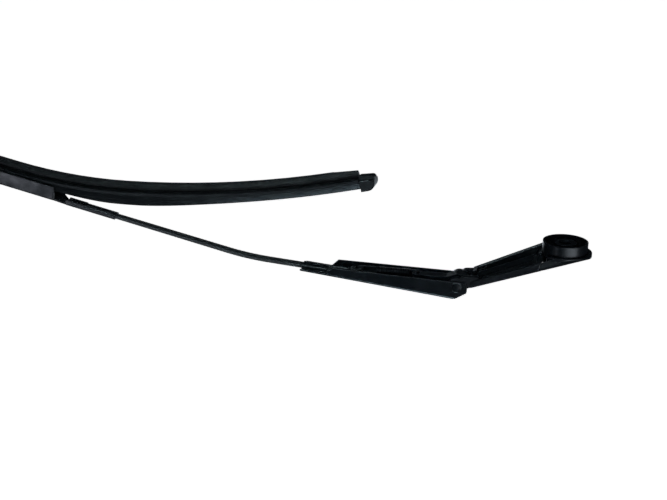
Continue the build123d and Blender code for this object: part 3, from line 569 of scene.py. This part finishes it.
PANELS: Tuple[Panel, ...] = (
    Panel(
        "side_panel",
        place=(-0.78, 1.15, -0.41),
        aim=(0.1, 0.0, 0.0),
        size=(1.4, 0.8),
        power=8.5,
        tint=(0.9, 1.0, 1.1),
    ),
    Panel(
        "front_panel",
        place=(0.1, 1.55, 0.3),
        aim=(0.2, 0.0, 0.0),
        size=(0.8, 0.7),
        power=1.2,
        tint=(0.7, 1.0, 1.2),
    ),
    Panel(
        "tip_panel",
        place=(1.35, 1.1, -0.4),
        aim=(0.56, 0.0, 0.02),
        size=(0.6, 0.8),
        power=0.1,
        tint=(0.95, 1.0, 1.15),
        spread=30.0,
    ),
    Panel(
        "low_panel",
        place=(0.3, 0.7, -1.25),
        aim=(0.11, 0.0, 0.05),
        size=(0.3, 0.6),
        power=0.2,
        tint=(0.75, 1.0, 1.15),
        spread=16.0,
    ),
    Panel(
        "top_panel",
        place=(0.4, 1.1, 1.0),
        aim=(0.18, 0.0, 0.08),
        size=(0.4, 0.4),
        power=0.15,
        tint=(0.8, 1.0, 1.05),
        spread=18.0,
    ),
    Panel(
        "over_panel",
        place=(0.35, 0.75, 1.35),
        aim=(0.15, 0.0, 0.0),
        size=(0.8, 0.5),
        power=1.8,
        tint=(0.8, 1.0, 1.1),
    ),
    Panel(
        "back_panel",
        place=(0.3, -1.5, -0.35),
        aim=(0.25, 0.0, 0.0),
        size=(1.4, 0.8),
        power=5.0,
        tint=(0.9, 1.0, 1.1),
    ),
)


def hang(data: bpy.types.ID, place: Triple, look: Vector) -> bpy.types.Object:
    """Places a camera or a light.

    Args:
        data: The camera or light, whose name the object takes.
        place: Where it hangs.
        look: The direction that it points in.

    Returns:
        The new object.
    """
    fitting = bpy.data.objects.new(data.name, data)
    fitting.location = place
    fitting.rotation_mode = "QUATERNION"
    fitting.rotation_quaternion = look.to_track_quat("-Z", "Y")
    bpy.context.scene.collection.objects.link(fitting)
    return fitting


@dataclass
class Studio:
    """Pale floor, soft lights and the camera of the photograph's view."""

    azimuth: float = 194.0
    elevation: float = 19.5
    camera_place: Triple = (0.0101, 0.6907, 0.2302)
    lens: float = 50.0
    sensor: float = 36.0
    near_clip: float = 0.01
    far_clip: float = 200.0
    floor_level: float = -0.85
    floor_size: float = 60.0
    floor_grey: Colour = (0.9, 0.9, 0.9)
    floor_roughness: float = 0.9
    room_light: float = 0.012
    room_tint: Colour = (0.75, 1.0, 1.2)
    panels: Tuple[Panel, ...] = PANELS

    def back(self) -> Vector:
        """Direction from the object to the camera."""
        turn, rise = math.radians(self.azimuth), math.radians(self.elevation)
        return Vector((math.sin(turn) * math.cos(rise), -math.cos(turn) * math.cos(rise), math.sin(rise)))

    def add_camera(self) -> None:
        """Places the camera."""
        data = bpy.data.cameras.new("camera")
        data.lens = self.lens
        data.sensor_width = self.sensor
        data.clip_start = self.near_clip
        data.clip_end = self.far_clip
        bpy.context.scene.camera = hang(data, self.camera_place, -self.back())

    def add_floor(self) -> None:
        """Lays the pale floor well below the lowest pose."""
        bpy.ops.mesh.primitive_plane_add(size=self.floor_size, location=(0.0, 0.0, self.floor_level))
        floor = bpy.context.object
        floor.name = "floor"
        floor.visible_diffuse = False
        floor.visible_glossy = False
        surface = Surface("pale_floor")
        surface.set(Base_Color=rgba(self.floor_grey), Roughness=self.floor_roughness)
        surface.set(Emission_Color=rgba(WHITE), Emission_Strength=1.0)
        floor.data.materials.append(surface.material)

    def add_lights(self) -> None:
        """Hangs the soft panels."""
        for panel in self.panels:
            data = bpy.data.lights.new(panel.name, "AREA")
            data.shape = "RECTANGLE"
            data.size, data.size_y = panel.size
            data.energy = panel.power
            data.color = panel.tint
            data.spread = math.radians(panel.spread)
            light = hang(data, panel.place, Vector(panel.aim) - Vector(panel.place))
            light.visible_camera = False

    def light_room(self) -> None:
        """Shows a white room to the camera and a dim one to the object."""
        world = bpy.data.worlds.new("room")
        world.use_nodes = True
        bpy.context.scene.world = world
        graph = Graph(world.node_tree)
        seen = graph.node("ShaderNodeLightPath", output="Is Camera Ray")
        levels = {"Value": seen, "To Min": self.room_light, "To Max": 1.0}
        background = graph.find("BACKGROUND")
        graph.plug(background.inputs["Color"], graph.mix(seen, rgba(self.room_tint), rgba(WHITE)))
        graph.plug(background.inputs["Strength"], graph.node("ShaderNodeMapRange", {}, levels))
        bpy.context.scene.view_settings.view_transform = "Standard"


def pick(*pieces: bpy.types.Object) -> None:
    """Selects these pieces alone and makes the first one active.

    Args:
        pieces: The pieces.
    """
    bpy.ops.object.select_all(action="DESELECT")
    for piece in pieces:
        piece.select_set(True)
    bpy.context.view_layer.objects.active = pieces[0]


def pick_faces(piece: bpy.types.Object, wanted: Callable[[bpy.types.MeshPolygon], bool]) -> None:
    """Enters edit mode with the wanted faces selected.

    Args:
        piece: The piece.
        wanted: Tells whether a face is selected.
    """
    pick(piece)
    bpy.ops.object.mode_set(mode="EDIT")
    bpy.ops.mesh.select_mode(type="FACE")
    bpy.ops.mesh.select_all(action="DESELECT")
    bpy.ops.object.mode_set(mode="OBJECT")
    for face in piece.data.polygons:
        face.select = wanted(face)
    bpy.ops.object.mode_set(mode="EDIT")


def settle(piece: bpy.types.Object) -> None:
    """Moves a piece's place into its mesh."""
    pick(piece)
    bpy.ops.object.transform_apply(location=True, rotation=True, scale=True)


def seal(piece: bpy.types.Object, smooth_angle: float) -> None:
    """Closes open ends, merges doubles, turns faces outwards and smooths the shading.

    Args:
        piece: The piece.
        smooth_angle: Edges sharper than this stay sharp, in degrees.
    """
    pick(piece)
    bpy.ops.object.mode_set(mode="EDIT")
    bpy.ops.mesh.select_all(action="SELECT")
    bpy.ops.mesh.remove_doubles(threshold=MERGE_REACH)
    bpy.ops.mesh.fill_holes(sides=0)
    bpy.ops.mesh.normals_make_consistent(inside=False)
    bpy.ops.object.mode_set(mode="OBJECT")
    bpy.ops.object.shade_smooth_by_angle(angle=math.radians(smooth_angle))


def joint_place(name: str) -> Vector:
    """Place of a joint of the record."""
    joints = frame["record"]["behaviour"]["joints"]
    return Vector(next(joint["pos_m"] for joint in joints if joint["name"] == name))


@dataclass
class Solids:
    """The part's CAD nodes, which keep their shapes and only get their finishes."""

    rows: List[Dict[str, Any]]

    def dress(self, made: Materials) -> None:
        """Gives each node the finish of its material slot.

        Args:
            made: The materials by slot.
        """
        for row in self.rows:
            node = frame["nodes"][row["node"]]
            node.data.materials.clear()
            node.data.materials.append(made[row["material_slot"]])
            log.info("dressed %s with %s", row["node"], row["material_slot"])


@dataclass
class SubAssembly(ABC):
    """Modelled pieces with one finish on one moving body, in place of CAD nodes."""

    slot: Slot
    body: Body

    @abstractmethod
    def build(self) -> List[bpy.types.Object]:
        """Models the pieces and lets them ride their body."""

    def dress(self, pieces: Sequence[bpy.types.Object], made: Materials) -> None:
        """Gives the pieces their finish.

        Args:
            pieces: The modelled pieces.
            made: The materials by slot.
        """
        for piece in pieces:
            piece.data.materials.clear()
            piece.data.materials.append(made[self.slot.value])
            log.info("built %s with %s", piece.name, self.slot.value)


@dataclass
class WoundSpring(SubAssembly):
    """Close-wound tension spring with a hook at each end, drawn along its line of pull."""

    slot: Slot = Slot.SPRING_WIRE
    body: Body = Body.SPRING
    bar_joint: str = "strap_swing"
    anchor_joint: str = "spring_swing"
    wire: float = 1.4 * MM
    diameter: float = 7.5 * MM
    gaps: int = 19
    slack: float = 0.02 * MM
    strap_eye: float = 38.0 * MM
    strap_drop: float = 3.2 * MM
    rod_drop: float = 3.9 * MM
    hook_run: float = 4.0 * MM
    lead_wires: float = 1.5
    corner: float = 1.05 * MM
    ring_points: int = 12
    turn_steps: int = 24
    bend_steps: int = 5
    smooth_angle: float = 40.0

    @property
    def mean_radius(self) -> float:
        """Radius of the coil at the middle of its wire."""
        return (self.diameter - self.wire) / 2

    def _ring(self, x: float, tilt: Triple) -> bpy.types.Object:
        """Makes a ring of the wire's section, over the coil's axis.

        Args:
            x: Distance along the line of pull.
            tilt: Turn of the ring, in radians.

        Returns:
            The ring.
        """
        bpy.ops.mesh.primitive_circle_add(
            vertices=self.ring_points,
            radius=(self.wire - self.slack) / 2,
            location=(x, 0.0, self.mean_radius),
            rotation=tilt,
        )
        ring = bpy.context.object
        settle(ring)
        return ring

    def _coil(self, start: float) -> bpy.types.Object:
        """Winds the coil's turns, each close to the next.

        Args:
            start: Where the first turn begins along the line of pull.

        Returns:
            The coil.
        """
        coil = self._ring(start, (math.pi / 2, 0.0, 0.0))
        bpy.ops.object.modifier_add(type="SCREW")
        winding = coil.modifiers[-1]
        winding.axis = "X"
        winding.screw_offset = self.wire
        winding.iterations = self.gaps
        winding.steps = winding.render_steps = self.turn_steps
        bpy.ops.object.modifier_apply(modifier=winding.name)
        return coil

    def _hook(self, start: float, turn: float, drop: float) -> bpy.types.Object:
        """Bends a hook out of the end turn, down through a hole and back under it.

        Args:
            start: Where the hook leaves the coil.
            turn: Where it goes down.
            drop: How far under the axis it comes back.

        Returns:
            The hook.
        """
        way = 1.0 if turn > start else -1.0
        pivot = turn - way * self.corner
        hook = self._ring(start, (0.0, math.pi / 2, 0.0))
        bpy.ops.object.mode_set(mode="EDIT")
        bpy.ops.mesh.select_all(action="SELECT")
        self._draw((pivot - start, 0.0, 0.0))
        self._bend(way, (pivot, 0.0, self.mean_radius - self.corner))
        self._draw((0.0, 0.0, 2 * self.corner - self.mean_radius - drop))
        self._bend(way, (pivot, 0.0, self.corner - drop))
        self._draw((way * (self.corner - self.hook_run), 0.0, 0.0))
        bpy.ops.object.mode_set(mode="OBJECT")
        return hook

    @staticmethod
    def _draw(move: Triple) -> None:
        """Extends the selected ring along a straight run."""
        bpy.ops.mesh.extrude_region_move(TRANSFORM_OT_translate={"value": move})

    def _bend(self, way: float, centre: Triple) -> None:
        """Turns the selected ring a quarter round about a centre."""
        quarter = -way * math.pi / 2
        bpy.ops.mesh.spin(steps=self.bend_steps, angle=quarter, center=centre, axis=(0.0, 1.0, 0.0))

    def build(self) -> List[bpy.types.Object]:
        """Builds the spring between the strap's eye and the rod's hole.

        Returns:
            The spring alone.
        """
        bar, anchor = joint_place(self.bar_joint), joint_place(self.anchor_joint)
        pull = anchor - bar
        first = self.strap_eye + self.hook_run + self.lead_wires * self.wire
        last = first + self.gaps * self.wire
        coil = self._coil(first)
        strap_hook = self._hook(first, self.strap_eye, self.strap_drop)
        rod_hook = self._hook(last, pull.length, self.rod_drop)
        pick(coil, strap_hook, rod_hook)
        bpy.ops.object.join()
        spring = bpy.context.object
        spring.name = spring.data.name = "wound_spring"
        turn = Matrix.Rotation(-math.atan2(pull.z, pull.x), 4, "Y")
        spring.matrix_world = Matrix.Translation(bar) @ turn
        settle(spring)
        seal(spring, self.smooth_angle)
        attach(spring, self.body.value)
        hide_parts("tension_spring")
        return [spring]


@dataclass
class HingeRivets(SubAssembly):
    """Hinge rivets whose heads are peened over the ears: rounded rim, ring and centre dimple."""

    slot: Slot = Slot.ARM_SHEET
    body: Body = Body.ARM
    near_node: str = "hinge_rivet_near"
    far_node: str = "hinge_rivet_far"
    head_radius: float = 3.6 * MM
    head_height: float = 0.5 * MM
    shank_radius: float = 2.5 * MM
    rim_round: float = 0.3 * MM
    rim_steps: int = 3
    ring_width: float = 1.3 * MM
    dish_depth: float = 0.1 * MM
    dimple_width: float = 1.5 * MM
    dimple_depth: float = 0.15 * MM
    points: int = 40
    smooth_angle: float = 35.0

    def _near(self) -> bpy.types.Object:
        """Models the near rivet, whose head faces along +Y.

        Returns:
            The rivet.
        """
        low, high = (Vector(corner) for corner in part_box(self.near_node))
        centre = (low + high) / 2
        bpy.ops.mesh.primitive_cylinder_add(
            vertices=self.points,
            radius=self.head_radius,
            depth=self.head_height,
            location=(centre.x, high.y - self.head_height / 2, centre.z),
            rotation=(math.pi / 2, 0.0, 0.0),
        )
        rivet = bpy.context.object
        settle(rivet)
        pick_faces(rivet, lambda face: face.normal.y < -FACING)
        bpy.ops.mesh.inset(thickness=self.head_radius - self.shank_radius)
        shank = (0.0, low.y + self.head_height - high.y, 0.0)
        bpy.ops.mesh.extrude_region_move(TRANSFORM_OT_translate={"value": shank})
        bpy.ops.object.mode_set(mode="OBJECT")
        pick_faces(rivet, lambda face: face.normal.y > FACING and len(face.vertices) == self.points)
        bpy.ops.mesh.bevel(offset=self.rim_round, segments=self.rim_steps, affect="EDGES")
        bpy.ops.mesh.inset(thickness=self.ring_width - self.rim_round)
        bpy.ops.transform.translate(value=(0.0, -self.dish_depth, 0.0))
        bpy.ops.mesh.inset(thickness=self.dimple_width / 2)
        bpy.ops.transform.translate(value=(0.0, -self.dimple_depth, 0.0))
        bpy.ops.object.mode_set(mode="OBJECT")
        return rivet

    @staticmethod
    def _mirrored(rivet: bpy.types.Object) -> bpy.types.Object:
        """Copies a rivet to the arm's other side.

        Args:
            rivet: The rivet to copy.

        Returns:
            The copy, with a mesh of its own.
        """
        pick(rivet)
        bpy.ops.object.duplicate(linked=False)
        copy = bpy.context.object
        copy.scale = (1.0, -1.0, 1.0)
        settle(copy)
        return copy

    def build(self) -> List[bpy.types.Object]:
        """Builds the two rivets in place of their nodes.

        Returns:
            The near rivet and the far one.
        """
        near = self._near()
        rivets = [near, self._mirrored(near)]
        for rivet, node in zip(rivets, (self.near_node, self.far_node)):
            rivet.name = rivet.data.name = f"peened_{node}"
            seal(rivet, self.smooth_angle)
            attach(rivet, self.body.value)
            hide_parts(node)
        return rivets


def main() -> None:
    """Builds the dressed wiper arm and its studio."""
    logging.basicConfig(level=logging.INFO)
    bpy.ops.object.select_all(action="DESELECT")
    made = {finish.slot.value: finish.material() for finish in FINISHES}
    Solids(frame["record"]["subparts"]).dress(made)
    for group in (WoundSpring(), HingeRivets()):
        group.dress(group.build(), made)
    studio = Studio()
    studio.add_camera()
    studio.add_floor()
    studio.add_lights()
    studio.light_room()


if __name__ == "__main__":
    main()
